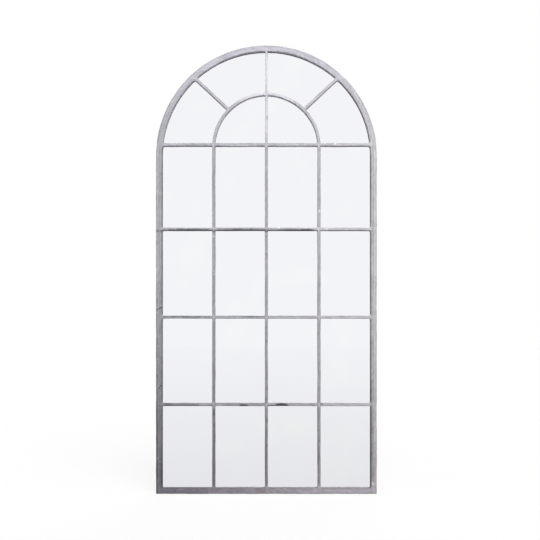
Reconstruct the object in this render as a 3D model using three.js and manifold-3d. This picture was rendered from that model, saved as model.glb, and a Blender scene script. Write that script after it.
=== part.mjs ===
// Arched window mirror: a hoop of steel tube with a fan head and welded glazing bars, one sheet of mirror
// glass behind the bars, a board that holds it from the rear, two ring hangers and two wall pads.
//
// Millimetres, +Z up, the front faces -Y. The wall is the plane Y = 0, and the origin lies on it, midway
// between the pivots of the two hanging rings. Inside the top group, heights are measured from the bottom
// of the sill and depths from the front faces of the bars.

import * as THREE from "three";
import { mergeVertices } from "three/addons/utils/BufferGeometryUtils.js";
import Module from "manifold-3d";

const wasm = await Module();
wasm.setup();

// ---------------------------------------------------------------- driving dimensions

// Hoop: rectangular tube, rolled to a half circle over two straight jambs
const hoopWidth = 900;
const tubeFace = 25;
const tubeDepth = 15;
const tubeWall = 1.5;
const tubeCornerRadius = 2;
const footCornerRadius = 4;

// Glazing bars: small tube, flush with the front of the hoop
const barFace = 12;
const barWall = 1;
const barCornerRadius = 1.5;
const innerPaneWidth = 203;
const paneHeights = [333, 345, 347, 333]; // from the sill up to the spring bar
const springBarRise = 46; // spring bar above the centre of the hoop's arch

// Fan head
const fanArchDrop = 9; // centre of the fan arch below the spring bar
const sideSpokeAngle = 43; // degrees above the spring bar
const topSpokeFace = 8;
const bottomSpokeFace = 10;

// Weld beads
const hoopWeldLeg = 9;
const crossingWeldLeg = 4.5;
const crownWeldLength = 16;
const crownWeldWidth = 2.5;
const spokeFootWeldLength = 6;
const weldSink = 0.8; // how far a bead runs into the piece that carries it

// Mirror glass, its tape and its backing board
const glassThickness = 4;
const glassEdgeClearance = 1.5;
const glassSeatClearance = 0.2;
const tapeThickness = 0.8;
const tapeWidth = 10;
const tapeEndMargin = 12;
const boardThickness = 3;
const boardMargin = 6; // board inside the hoop's outline

// Screws through the board into the rear wall of the tube
const screwShankDiameter = 3.5;
const screwLength = 12;
const screwTipLength = 3;
const screwHeadDiameter = 7;
const screwHeadTopDiameter = 4.9;
const screwHeadHeight = 1.9;
const boardHoleDiameter = 4.1;
const pilotHoleDiameter = 3.9;
const jambScrewHeights = [110, 520, 930];
const archScrewAngles = [28, 70, 110, 152];
const sillScrewOffset = 215;

// Ring hangers
const hangerDrop = 50; // ring pivot below the foot of the arch
const strapWidth = 12;
const strapLength = 50;
const strapThickness = 2;
const barrelWall = 1;
const strapScrewDrops = [28, 42]; // below the ring pivot
const ringWireDiameter = 3;
const ringWireClearance = 0.3;
const ringInnerWidth = 19;
const ringDrop = 20; // pivot to the middle of the wire at the bottom of the ring
const ringShoulderRadius = 3;
const ringEndGap = 0.6; // between the two ends of the wire, inside the barrel

// Wall pads
const padDiameter = 20;
const padThickness = 7;
const padInset = 20; // pad centre from the hoop's side and foot

// Fits
const weldGap = 0.1; // root gap of a butt weld
const copeGap = 0.3; // at an end that is cut to the curve of its neighbour
const layerGap = 0.1; // between the layers that are clamped together

// Facets
const archSteps = 60;
const fanArchSteps = 40;
const cornerSteps = 1;
const beadSteps = 4;
const screwSides = 10;
const holeSteps = 5;
const padSides = 24;
const ringSteps = 36;
const ringSides = 8;
const barrelSteps = 6;
const discSides = 120;

// ---------------------------------------------------------------- derived positions

const halfWidth = hoopWidth / 2;
const innerHalfWidth = halfWidth - tubeFace;
const tubeCentreOffset = halfWidth - tubeFace / 2;
const sideBarOffset = innerPaneWidth + barFace;
const outerPaneWidth = innerHalfWidth - sideBarOffset - barFace / 2;

// Heights of the cross bars' centre lines, from the lowest bar up to the spring bar.
const crossBarHeights = [];
let paneBottom = tubeFace;
for (const paneHeight of paneHeights) {
  crossBarHeights.push(paneBottom + paneHeight + barFace / 2);
  paneBottom += paneHeight + barFace;
}
const springBarHeight = crossBarHeights.at(-1);
const springBarTop = springBarHeight + barFace / 2;
const archCentreHeight = springBarHeight - springBarRise;
const fanCentreHeight = springBarHeight - fanArchDrop;
const hangerHeight = archCentreHeight - hangerDrop;

// Depths, from the front faces of the bars to the wall
const glassBack = tubeDepth;
const glassFront = glassBack - glassThickness;
const tapeFront = glassFront - layerGap - tapeThickness;
const barDepth = tapeFront - layerGap;
const boardFront = tubeDepth + layerGap;
const boardBack = boardFront + boardThickness;
const padFront = boardBack + layerGap;
const wallDepth = padFront + padThickness;

const fanInnerRadius = sideBarOffset - barFace / 2;
const fanOuterRadius = sideBarOffset + barFace / 2;

// Directions as seen from the front, as angles up from the right
const upwards = Math.PI / 2;
const leftwards = Math.PI;
const rightwards = 0;

const cutterDepth = 3 * tubeDepth; // a cutting solid is deeper than any piece that it cuts

// ---------------------------------------------------------------- materials

function paintedSteel() {
  return new THREE.MeshStandardMaterial({ color: 0xa6a5aa, roughness: 0.62, metalness: 0.25 });
}

function silveredGlass() {
  return new THREE.MeshStandardMaterial({ color: 0xf1f1f6, roughness: 0.03, metalness: 1 });
}

function fibreBoard() {
  return new THREE.MeshStandardMaterial({ color: 0x8a6a4a, roughness: 0.85, metalness: 0 });
}

function foamTape() {
  return new THREE.MeshStandardMaterial({ color: 0x2c2c2e, roughness: 0.9, metalness: 0 });
}

function zincPlate() {
  return new THREE.MeshStandardMaterial({ color: 0xb9bcc0, roughness: 0.35, metalness: 0.9 });
}

function padRubber() {
  return new THREE.MeshStandardMaterial({ color: 0x3a3a3c, roughness: 0.8, metalness: 0 });
}

// ---------------------------------------------------------------- solids

function solidOf(geometry) {
  const bare = new THREE.BufferGeometry();
  bare.setAttribute("position", geometry.getAttribute("position"));
  bare.setIndex(geometry.getIndex());
  const welded = mergeVertices(bare, 1e-4);
  return new wasm.Manifold(
    new wasm.Mesh({
      numProp: 3,
      vertProperties: welded.getAttribute("position").array,
      triVerts: new Uint32Array(welded.getIndex().array),
    }),
  );
}

function geometryOf(solid) {
  const mesh = solid.getMesh();
  const indexed = new THREE.BufferGeometry();
  indexed.setAttribute("position", new THREE.BufferAttribute(mesh.vertProperties, 3));
  indexed.setIndex(new THREE.BufferAttribute(mesh.triVerts, 1));
  const flat = indexed.toNonIndexed();
  flat.computeVertexNormals();
  return flat;
}

function joined(solid, additions) {
  return additions.reduce((whole, addition) => whole.add(addition), solid);
}

function part(name, geometry, material) {
  const mesh = new THREE.Mesh(geometry, material);
  mesh.name = name;
  return mesh;
}

// ---------------------------------------------------------------- sections and outlines

// The section of a rectangular tube with its bore: the width is centred on x, the height starts at y = 0.
function tubeSection(width, height, wall, cornerRadius) {
  const right = width / 2 - cornerRadius;
  const top = height - cornerRadius;
  const section = new THREE.Shape();
  section.absarc(right, cornerRadius, cornerRadius, -Math.PI / 2, 0);
  section.absarc(right, top, cornerRadius, 0, Math.PI / 2);
  section.absarc(-right, top, cornerRadius, Math.PI / 2, Math.PI);
  section.absarc(-right, cornerRadius, cornerRadius, Math.PI, 1.5 * Math.PI);
  section.holes.push(rectangle(-width / 2 + wall, wall, width / 2 - wall, height - wall));
  return section;
}

function rectangle(left, bottom, right, top) {
  const outline = new THREE.Path();
  outline.moveTo(left, bottom);
  outline.lineTo(right, bottom);
  outline.lineTo(right, top);
  outline.lineTo(left, top);
  outline.closePath();
  return outline;
}

// Straight sides under a half circle, as seen from the front.
function archedOutline(outlineHalfWidth, bottom) {
  const outline = new THREE.Shape();
  outline.moveTo(-outlineHalfWidth, bottom);
  outline.lineTo(outlineHalfWidth, bottom);
  outline.absarc(0, archCentreHeight, outlineHalfWidth, 0, Math.PI);
  outline.closePath();
  return outline;
}

// A shape drawn as seen from the front, x to the right and y up, made solid from one depth to another.
function plate(shape, front, back, curveSegments) {
  const depth = back - front;
  const geometry = new THREE.ExtrudeGeometry(shape, { depth, bevelEnabled: false, curveSegments });
  return geometry.rotateX(Math.PI / 2).translate(0, back, 0);
}

// A length of tube that runs to the right from x = 0, with its axis at height 0 and its front at depth 0.
function tubeAlongX(section, length) {
  const settings = { depth: length, bevelEnabled: false, curveSegments: cornerSteps };
  return new THREE.ExtrudeGeometry(section, settings).rotateY(Math.PI / 2);
}

// A length of tube that stands on height 0.
function uprightTube(section, length) {
  const settings = { depth: length, bevelEnabled: false, curveSegments: cornerSteps };
  return new THREE.ExtrudeGeometry(section, settings);
}

// A flat path drawn as seen from the front, as a curve in space.
class FrontPath extends THREE.Curve {
  constructor(path) {
    super();
    this.path = path;
  }

  getPoint(t, target = new THREE.Vector3()) {
    const point = this.path.getPoint(t);
    return target.set(point.x, 0, point.y);
  }

  getTangent(t, target = new THREE.Vector3()) {
    const tangent = this.path.getTangent(t);
    return target.set(tangent.x, 0, tangent.y);
  }
}

// A half circle of tube, rolled the flat way: the section's depth points to the rear all along the arc.
function rolledTube(face, depth, wall, cornerRadius, centreHeight, radius, steps) {
  const section = new THREE.Shape();
  const flat = tubeSection(face, depth, wall, cornerRadius);
  section.setFromPoints(turned(flat.getPoints(cornerSteps)));
  section.holes.push(new THREE.Path(turned(flat.holes[0].getPoints(cornerSteps))));
  const arc = new THREE.Path().absarc(0, centreHeight, radius, 0, Math.PI);
  return new THREE.ExtrudeGeometry(section, { extrudePath: new FrontPath(arc), steps });
}

// The section of a rolled tube is laid across its path with x towards the front and y outwards.
function turned(points) {
  return points.map((point) => new THREE.Vector2(-point.y, point.x));
}

function disc(centreHeight, radius) {
  const cylinder = new THREE.CylinderGeometry(radius, radius, cutterDepth, discSides);
  return solidOf(cylinder.translate(0, 0, centreHeight));
}

// How far a polygon's sides reach in towards the centre of the circle through its corners.
function sideReach(radius, halfCircleSteps) {
  return radius * Math.cos(Math.PI / (2 * halfCircleSteps));
}

// ---------------------------------------------------------------- welds

// Filler metal in the corner between a carrying face and a piece butted to it, as deep as the bars. The
// joint is where the butted piece's axis meets the carrying face, and direction points away from that face.
// Side is +1 for the fillet on the left of that direction and -1 for the one on its right.
function fillet(joint, direction, side, halfFace, along, across) {
  const edge = side * (halfFace + weldGap);
  const tip = side * (halfFace + across);
  const profile = new THREE.Shape();
  profile.moveTo(-weldSink, edge);
  profile.lineTo(along, edge);
  profile.quadraticCurveTo(0, edge, 0, tip);
  profile.lineTo(-weldSink, tip);
  profile.closePath();
  const bead = plate(profile, 0, barDepth, beadSteps);
  return solidOf(bead.rotateY(-direction).translate(joint.x, 0, joint.z));
}

// The fillets that an upright carries at one cross bar. The spring bar ends the uprights, so there the
// corners above it belong to what stands on it.
function crossingWelds(x, height) {
  const isSpringBar = height === springBarHeight;
  const leg = crossingWeldLeg;
  const half = barFace / 2;
  const right = { x: x + half, z: height };
  const left = { x: x - half, z: height };
  const below = [fillet(right, rightwards, -1, half, leg, leg), fillet(left, leftwards, 1, half, leg, leg)];
  const above = [fillet(right, rightwards, 1, half, leg, leg), fillet(left, leftwards, -1, half, leg, leg)];
  return isSpringBar ? below : [...below, ...above];
}

// The fillets at the foot of a piece that stands on a flat top, between its two sides and that top. Here
// the sides carry the filler, and what the piece stands on fills the heights from 0 up to the top.
function footWelds(leftSide, rightSide, top, along, across) {
  return [
    fillet({ x: rightSide, z: 0 }, rightwards, 1, top, along, across),
    fillet({ x: leftSide, z: 0 }, leftwards, -1, top, along, across),
  ];
}

// Distance from the hub of the fan, along a line at this angle and shifted to its left, to a circle.
function reachFromHub(angle, shift, centreHeight, radius) {
  const start = new THREE.Vector2(0, springBarHeight - centreHeight);
  start.x -= shift * Math.sin(angle);
  start.y += shift * Math.cos(angle);
  const along = start.x * Math.cos(angle) + start.y * Math.sin(angle);
  return Math.sqrt(along ** 2 - start.lengthSq() + radius ** 2) - along;
}

function pointFromHub(angle, distance) {
  return { x: distance * Math.cos(angle), z: springBarHeight + distance * Math.sin(angle) };
}

// The fillets between a spoke and a curved wall, either where the spoke sets off outwards from the wall or
// where it arrives. They lie on the curved piece.
function spokeWelds(angle, face, centreHeight, radius, arrives, along, across) {
  return [1, -1].map((side) => {
    const shift = side * (face / 2 + weldGap);
    const reach = reachFromHub(angle, shift, centreHeight, radius);
    const joint = pointFromHub(angle, reach);
    const direction = arrives ? angle + Math.PI : angle;
    return fillet(joint, direction, arrives ? -side : side, face / 2, along, across);
  });
}

// ---------------------------------------------------------------- screw positions

function jambScrewPoints(side) {
  return jambScrewHeights.map((height) => ({ x: side * tubeCentreOffset, z: height }));
}

function archScrewPoints() {
  return archScrewAngles.map((degrees) => {
    const angle = THREE.MathUtils.degToRad(degrees);
    return {
      x: tubeCentreOffset * Math.cos(angle),
      z: archCentreHeight + tubeCentreOffset * Math.sin(angle),
    };
  });
}

function sillScrewPoints() {
  return [-1, 1].map((side) => ({ x: side * sillScrewOffset, z: tubeFace / 2 }));
}

function hangerScrewPoints(side) {
  return strapScrewDrops.map((drop) => ({ x: side * tubeCentreOffset, z: hangerHeight - drop }));
}

function boardScrewPoints() {
  return [...jambScrewPoints(-1), ...archScrewPoints(), ...jambScrewPoints(1), ...sillScrewPoints()];
}

// A round bit that runs from front to back at one point.
function drill(point, diameter, front, back) {
  const bit = new THREE.CylinderGeometry(diameter / 2, diameter / 2, back - front, 2 * holeSteps);
  return solidOf(bit.translate(point.x, (front + back) / 2, point.z));
}

// Pilot holes in the rear wall of the hoop's tube
function drilled(solid, points) {
  const inside = tubeDepth - 2 * tubeWall;
  const outside = tubeDepth + tubeWall;
  const bits = points.map((point) => drill(point, pilotHoleDiameter, inside, outside));
  return bits.reduce((left, bit) => left.subtract(bit), solid);
}

// ---------------------------------------------------------------- hoop

function hoopSection() {
  return tubeSection(tubeFace, tubeDepth, tubeWall, tubeCornerRadius);
}

function archTube() {
  const rolled = rolledTube(
    tubeFace, tubeDepth, tubeWall, tubeCornerRadius, archCentreHeight, tubeCentreOffset, archSteps,
  );
  const welds = [];
  const wallAtSpringBar = Math.sqrt(innerHalfWidth ** 2 - springBarRise ** 2);
  for (const side of [1, -1]) {
    const direction = side > 0 ? leftwards : rightwards;
    const joint = { x: side * wallAtSpringBar, z: springBarHeight };
    welds.push(fillet(joint, direction, 1, barFace / 2, hoopWeldLeg, hoopWeldLeg));
    welds.push(fillet(joint, direction, -1, barFace / 2, hoopWeldLeg, hoopWeldLeg));
  }
  for (const angle of sideSpokeAngles()) {
    welds.push(...spokeWelds(
      angle, barFace, archCentreHeight, innerHalfWidth, true, hoopWeldLeg, hoopWeldLeg,
    ));
  }
  welds.push(...spokeWelds(
    upwards, topSpokeFace, archCentreHeight, innerHalfWidth, true, crownWeldLength, crownWeldWidth,
  ));
  return drilled(joined(solidOf(rolled), welds), archScrewPoints());
}

// What a mitre takes off: all that lies on one side of the line at 45 degrees through a lower corner of the
// hoop. Above is +1 for the sill, which loses what is above the line, and -1 for a jamb.
function mitreWaste(side, above) {
  const size = 3 * tubeFace;
  const lift = (-above * weldGap) / Math.SQRT2;
  const waste = new THREE.Shape();
  waste.moveTo(side * size, lift - size);
  waste.lineTo(-side * size, lift + size);
  waste.lineTo(above * side * size, above * size);
  waste.closePath();
  const wedge = plate(waste, -cutterDepth, cutterDepth, 1);
  return solidOf(wedge.translate(side * halfWidth, 0, 0));
}

// What is ground off the sharp outer corner at the foot of the hoop.
function footCornerWaste(side) {
  const edge = footCornerRadius;
  const waste = new THREE.Shape();
  waste.moveTo(side * edge, -edge);
  waste.lineTo(side * edge, edge);
  waste.lineTo(0, edge);
  waste.absarc(-side * edge, edge, edge, side > 0 ? 0 : Math.PI, -Math.PI / 2, side > 0);
  waste.lineTo(-side * edge, -edge);
  waste.closePath();
  const cutter = plate(waste, -cutterDepth, cutterDepth, beadSteps);
  return solidOf(cutter.translate(side * halfWidth, 0, 0));
}

function jamb(side) {
  const tube = uprightTube(hoopSection(), archCentreHeight - weldGap);
  const welds = crossBarHeights.slice(0, -1).flatMap((height) => {
    const joint = { x: side * innerHalfWidth, z: height };
    const direction = side > 0 ? leftwards : rightwards;
    return [1, -1].map((up) => fillet(joint, direction, up, barFace / 2, hoopWeldLeg, hoopWeldLeg));
  });
  const whole = joined(solidOf(tube.translate(side * tubeCentreOffset, 0, 0)), welds);
  const cut = whole.subtract(mitreWaste(side, -1)).subtract(footCornerWaste(side));
  return drilled(cut, [...jambScrewPoints(side), ...hangerScrewPoints(side)]);
}

function sill() {
  const tube = solidOf(tubeAlongX(hoopSection(), hoopWidth).translate(-halfWidth, 0, tubeFace / 2));
  const cuts = [-1, 1].flatMap((side) => [mitreWaste(side, 1), footCornerWaste(side)]);
  return drilled(cuts.reduce((left, cut) => left.subtract(cut), tube), sillScrewPoints());
}

function hoop() {
  const group = new THREE.Group();
  group.add(
    part("arch_tube", geometryOf(archTube()), paintedSteel()),
    part("left_jamb", geometryOf(jamb(-1)), paintedSteel()),
    part("right_jamb", geometryOf(jamb(1)), paintedSteel()),
    part("sill", geometryOf(sill()), paintedSteel()),
  );
  return group;
}

// ---------------------------------------------------------------- glazing bars

function barSection(face) {
  return tubeSection(face, barDepth, barWall, barCornerRadius);
}

function uprightBar(x) {
  const foot = tubeFace + weldGap;
  const tube = uprightTube(barSection(barFace), springBarTop - foot).translate(x, 0, foot);
  const crossings = crossBarHeights.flatMap((height) => crossingWelds(x, height));
  const half = barFace / 2;
  const feet = footWelds(x - half, x + half, tubeFace, crossingWeldLeg, crossingWeldLeg);
  return joined(solidOf(tube), [...crossings, ...feet]);
}

// One row of cross bars: four lengths, each between two neighbours. Only the outer lengths of the spring
// bar meet the curve of the arch, so only they are cut to it.
function crossBarRow(name, height) {
  const half = barFace / 2;
  const leftEnds = [-innerHalfWidth, -sideBarOffset + half, half, sideBarOffset + half];
  return leftEnds.map((leftEnd, index) => {
    const isOuter = index === 0 || index === leftEnds.length - 1;
    const span = isOuter ? outerPaneWidth : innerPaneWidth;
    let bar = tubeAlongX(barSection(barFace), span - 2 * weldGap).translate(leftEnd + weldGap, 0, height);
    if (isOuter && height === springBarHeight) {
      const reach = sideReach(innerHalfWidth, archSteps) - copeGap;
      bar = geometryOf(solidOf(bar).intersect(disc(archCentreHeight, reach)));
    }
    return part(name + "_" + (index + 1), bar, paintedSteel());
  });
}

function glazingBars() {
  const group = new THREE.Group();
  group.add(
    part("left_glazing_bar", geometryOf(uprightBar(-sideBarOffset)), paintedSteel()),
    part("centre_glazing_bar", geometryOf(uprightBar(0)), paintedSteel()),
    part("right_glazing_bar", geometryOf(uprightBar(sideBarOffset)), paintedSteel()),
  );
  const names = ["lower_cross_bar", "middle_cross_bar", "upper_cross_bar", "spring_bar"];
  names.forEach((name, row) => group.add(...crossBarRow(name, crossBarHeights[row])));
  return group;
}

// ---------------------------------------------------------------- fan head

function sideSpokeAngles() {
  const angle = THREE.MathUtils.degToRad(sideSpokeAngle);
  return [angle, Math.PI - angle];
}

// How far from the middle a circle round the fan's centre meets the top of the spring bar.
function offsetAtSpringBar(radius) {
  return Math.sqrt(radius ** 2 - (springBarTop - fanCentreHeight) ** 2);
}

// The fan arch stands on the tops of the two side bars, so its feet are cut level there.
function fanArch() {
  const rolled = rolledTube(
    barFace, barDepth, barWall, barCornerRadius, fanCentreHeight, sideBarOffset, fanArchSteps,
  );
  const below = new THREE.BoxGeometry(hoopWidth, cutterDepth, hoopWidth);
  const level = springBarTop + weldGap - hoopWidth / 2;
  const arch = solidOf(rolled).subtract(solidOf(below.translate(0, 0, level)));
  const leg = crossingWeldLeg;
  const inner = offsetAtSpringBar(fanInnerRadius);
  const outer = offsetAtSpringBar(fanOuterRadius);
  return joined(arch, [
    ...sideSpokeAngles().flatMap((angle) => {
      return spokeWelds(angle, barFace, fanCentreHeight, fanOuterRadius, false, leg, leg);
    }),
    ...spokeWelds(upwards, topSpokeFace, fanCentreHeight, fanOuterRadius, false, leg, leg),
    ...spokeWelds(upwards, bottomSpokeFace, fanCentreHeight, fanInnerRadius, true, leg, leg),
    ...footWelds(inner, outer, springBarTop, leg, leg),
    ...footWelds(-outer, -inner, springBarTop, leg, leg),
  ]);
}

// A spoke from the fan arch out to the hoop, both ends cut to the curves they meet.
function spoke(angle, face) {
  const tube = tubeAlongX(barSection(face), halfWidth);
  const whole = solidOf(tube.rotateY(-angle).translate(0, 0, springBarHeight));
  const outer = disc(archCentreHeight, sideReach(innerHalfWidth, archSteps) - copeGap);
  const inner = disc(fanCentreHeight, fanOuterRadius + copeGap);
  return whole.intersect(outer).subtract(inner);
}

// The bottom spoke stands on the centre bar and ends under the fan arch.
function bottomSpoke() {
  const foot = springBarTop + weldGap;
  const tube = uprightTube(barSection(bottomSpokeFace), halfWidth).translate(0, 0, foot);
  const inside = disc(fanCentreHeight, sideReach(fanInnerRadius, fanArchSteps) - copeGap);
  const half = bottomSpokeFace / 2;
  const feet = footWelds(-half, half, springBarTop, barFace / 2, spokeFootWeldLength);
  return joined(solidOf(tube).intersect(inside), feet);
}

function fanHead() {
  const [rightSpokeAngle, leftSpokeAngle] = sideSpokeAngles();
  const group = new THREE.Group();
  group.add(
    part("fan_arch", geometryOf(fanArch()), paintedSteel()),
    part("left_spoke", geometryOf(spoke(leftSpokeAngle, barFace)), paintedSteel()),
    part("right_spoke", geometryOf(spoke(rightSpokeAngle, barFace)), paintedSteel()),
    part("top_spoke", geometryOf(spoke(upwards, topSpokeFace)), paintedSteel()),
    part("bottom_spoke", geometryOf(bottomSpoke()), paintedSteel()),
  );
  return group;
}

// ---------------------------------------------------------------- glass, tape and board

function mirrorGlass() {
  const outline = archedOutline(innerHalfWidth - glassEdgeClearance, tubeFace + glassSeatClearance);
  return plate(outline, glassFront, glassBack, archSteps / 2);
}

function tapeStrip() {
  const bottom = tubeFace + tapeEndMargin;
  const top = springBarTop - tapeEndMargin;
  const outline = new THREE.Shape(rectangle(-tapeWidth / 2, bottom, tapeWidth / 2, top).getPoints());
  return plate(outline, tapeFront, tapeFront + tapeThickness, 1);
}

function backingBoard() {
  const outline = archedOutline(halfWidth - boardMargin, boardMargin);
  for (const point of [...boardScrewPoints(), ...hangerScrewPoints(-1), ...hangerScrewPoints(1)]) {
    outline.holes.push(new THREE.Path().absarc(point.x, point.z, boardHoleDiameter / 2, 0, 2 * Math.PI));
  }
  const settled = new THREE.Shape(outline.getPoints(archSteps / 2));
  settled.holes = outline.holes.map((hole) => new THREE.Path(hole.getPoints(holeSteps)));
  return plate(settled, boardFront, boardBack, 1);
}

function glazing() {
  const group = new THREE.Group();
  group.add(
    part("mirror_glass", mirrorGlass(), silveredGlass()),
    part("backing_board", backingBoard(), fibreBoard()),
  );
  const strips = { left_foam_tape: -sideBarOffset, centre_foam_tape: 0, right_foam_tape: sideBarOffset };
  for (const [name, x] of Object.entries(strips)) {
    const strip = part(name, tapeStrip(), foamTape());
    strip.position.x = x;
    group.add(strip);
  }
  return group;
}

// ---------------------------------------------------------------- screws, hangers and pads

// Pan-head screw along the depth axis, with the underside of its head at depth 0.
function screw() {
  const shank = screwShankDiameter / 2;
  const head = screwHeadDiameter / 2;
  const profile = [
    [0, -screwLength],
    [shank, screwTipLength - screwLength],
    [shank, 0],
    [head, 0],
    [head, screwHeadHeight / 2],
    [screwHeadTopDiameter / 2, screwHeadHeight],
    [0, screwHeadHeight],
  ];
  return new THREE.LatheGeometry(profile.map(([x, y]) => new THREE.Vector2(x, y)), screwSides);
}

function placedScrew(name, point, seat) {
  const mesh = part(name, screw(), zincPlate());
  mesh.position.set(point.x, seat + layerGap, point.z);
  return mesh;
}

// Strap folded round the ring's wire: its section, x away from the board and y up from the pivot.
function strapSection(pivotDepth, barrelRadius) {
  const meeting = Math.acos((strapThickness - pivotDepth) / barrelRadius);
  const section = new THREE.Shape();
  section.moveTo(0, -strapLength);
  section.lineTo(strapThickness, -strapLength);
  section.absarc(pivotDepth, 0, barrelRadius, -meeting, Math.PI);
  section.quadraticCurveTo(0, -barrelRadius / 2, 0, -barrelRadius);
  section.closePath();
  section.holes.push(
    new THREE.Path().absarc(pivotDepth, 0, ringWireDiameter / 2 + ringWireClearance, 0, 2 * Math.PI),
  );
  return section;
}

function hangerStrap(pivotDepth, barrelRadius) {
  const settings = { depth: strapWidth, bevelEnabled: false, curveSegments: barrelSteps };
  const folded = new THREE.ExtrudeGeometry(strapSection(pivotDepth, barrelRadius), settings);
  const back = new THREE.Vector3(0, 1, 0);
  const up = new THREE.Vector3(0, 0, 1);
  const right = new THREE.Vector3(1, 0, 0);
  folded.applyMatrix4(new THREE.Matrix4().makeBasis(back, up, right));
  const strap = solidOf(folded.translate(-strapWidth / 2, 0, 0));
  const bits = strapScrewDrops.map((drop) => {
    return drill({ x: 0, z: -drop }, boardHoleDiameter, -strapThickness, 2 * strapThickness);
  });
  return bits.reduce((left, bit) => left.subtract(bit), strap);
}

// One wire, bent to a D that hangs from the barrel. Its two ends meet inside the barrel.
function hangerRing() {
  const half = (ringInnerWidth + ringWireDiameter) / 2;
  const shoulder = ringShoulderRadius;
  const path = new THREE.Path();
  path.moveTo(ringEndGap / 2, 0);
  path.lineTo(half - shoulder, 0);
  path.absarc(half - shoulder, -shoulder, shoulder, Math.PI / 2, 0, true);
  path.lineTo(half, half - ringDrop);
  path.absarc(0, half - ringDrop, half, 0, -Math.PI, true);
  path.lineTo(-half, -shoulder);
  path.absarc(shoulder - half, -shoulder, shoulder, Math.PI, Math.PI / 2, true);
  path.lineTo(-ringEndGap / 2, 0);
  const section = new THREE.Shape().absarc(0, 0, ringWireDiameter / 2, 0, 2 * Math.PI);
  return new THREE.ExtrudeGeometry(section, {
    extrudePath: new FrontPath(path),
    steps: ringSteps,
    curveSegments: ringSides / 2,
  });
}

// Strap, ring and two screws, in a group whose origin is at the ring's pivot height on the strap's seat.
function hanger(name, side) {
  const wireRadius = ringWireDiameter / 2;
  const pivotDepth = strapThickness + ringWireClearance + wireRadius;
  const barrelRadius = wireRadius + ringWireClearance + barrelWall;
  const group = new THREE.Group();
  group.position.set(side * tubeCentreOffset, boardBack + layerGap, hangerHeight);
  const folded = geometryOf(hangerStrap(pivotDepth, barrelRadius));
  const strap = part(name + "_hanger_strap", folded, zincPlate());
  const ring = part(name + "_hanger_ring", hangerRing(), zincPlate());
  ring.position.y = pivotDepth;
  group.add(strap, ring);
  strapScrewDrops.forEach((drop, index) => {
    group.add(placedScrew(name + "_hanger_screw_" + (index + 1), { x: 0, z: -drop }, strapThickness));
  });
  return group;
}

function wallPad(name, side) {
  const puck = new THREE.CylinderGeometry(padDiameter / 2, padDiameter / 2, padThickness, padSides);
  const mesh = part(name, puck, padRubber());
  mesh.position.set(side * (halfWidth - padInset), padFront + padThickness / 2, padInset);
  return mesh;
}

function rearFittings() {
  const group = new THREE.Group();
  boardScrewPoints().forEach((point, index) => {
    group.add(placedScrew("board_screw_" + (index + 1), point, boardBack));
  });
  group.add(hanger("left", -1), hanger("right", 1));
  group.add(wallPad("left_wall_pad", -1), wallPad("right_wall_pad", 1));
  return group;
}

// ---------------------------------------------------------------- the whole mirror

const mirror = new THREE.Group();
mirror.name = "arched_window_mirror";
mirror.position.set(0, -wallDepth, -hangerHeight);
mirror.add(hoop(), glazingBars(), fanHead(), glazing(), rearFittings());

export default mirror;
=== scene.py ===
# %% [markdown]
# # An arched window mirror
# The real piece is a hoop of steel tube, rolled to a half circle over two straight jambs and a
# sill. Inside it smaller tubes are butted and welded into a grid of panes with a fan head on top,
# one sheet of mirror glass lies behind all of them, and a hardboard back is screwed on over it.
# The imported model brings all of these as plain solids. This lesson keeps the flat ones, gives
# every other one a finer skin in the same place, and paints them all.

# %% Load the frame
import math

import bpy
import numpy as np
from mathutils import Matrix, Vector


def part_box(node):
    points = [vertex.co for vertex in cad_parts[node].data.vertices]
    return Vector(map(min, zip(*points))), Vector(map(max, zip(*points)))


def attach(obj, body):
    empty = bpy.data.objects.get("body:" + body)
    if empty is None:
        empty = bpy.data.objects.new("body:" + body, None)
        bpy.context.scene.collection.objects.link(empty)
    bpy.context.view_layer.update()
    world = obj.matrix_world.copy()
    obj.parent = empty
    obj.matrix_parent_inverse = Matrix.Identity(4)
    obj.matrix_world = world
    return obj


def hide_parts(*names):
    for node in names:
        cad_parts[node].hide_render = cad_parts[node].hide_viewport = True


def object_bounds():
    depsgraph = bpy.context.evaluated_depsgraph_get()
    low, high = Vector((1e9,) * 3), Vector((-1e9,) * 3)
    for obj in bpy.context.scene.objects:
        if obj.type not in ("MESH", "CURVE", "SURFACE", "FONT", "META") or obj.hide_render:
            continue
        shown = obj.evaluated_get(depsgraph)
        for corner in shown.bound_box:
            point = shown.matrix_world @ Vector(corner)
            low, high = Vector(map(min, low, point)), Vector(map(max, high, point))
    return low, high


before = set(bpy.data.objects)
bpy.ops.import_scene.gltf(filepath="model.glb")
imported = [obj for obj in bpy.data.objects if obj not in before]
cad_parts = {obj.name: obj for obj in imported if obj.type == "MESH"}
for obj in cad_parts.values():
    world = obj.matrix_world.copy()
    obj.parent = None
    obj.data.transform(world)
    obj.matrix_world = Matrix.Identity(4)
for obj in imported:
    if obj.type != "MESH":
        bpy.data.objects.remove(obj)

cad_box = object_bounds()
print("packed box:", [round(value, 4) for corner in cad_box for value in corner])

# %% [markdown]
# ## One drawing for every piece
# A maker measures a window from its sill and from its front. So every piece below is worked out
# in millimetres, with x to the right of the middle, depth behind the front faces of the bars and
# height above the underside of the sill, and one small function carries that into the frame.

# %% From the drawing to the frame
MM = 0.001
sill_low, sill_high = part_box("sill")
FRONT = sill_low.y / MM
FLOOR = sill_low.z / MM
TOTAL_HEIGHT = (cad_box[1].z - cad_box[0].z) / MM


def drawn(x, depth, height):
    """Points of the frame in metres, from x, depth and height in millimetres."""
    x, depth, height = np.broadcast_arrays(x, depth, height)
    return np.stack([x, depth + FRONT, height + FLOOR], axis=-1) * MM


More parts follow.
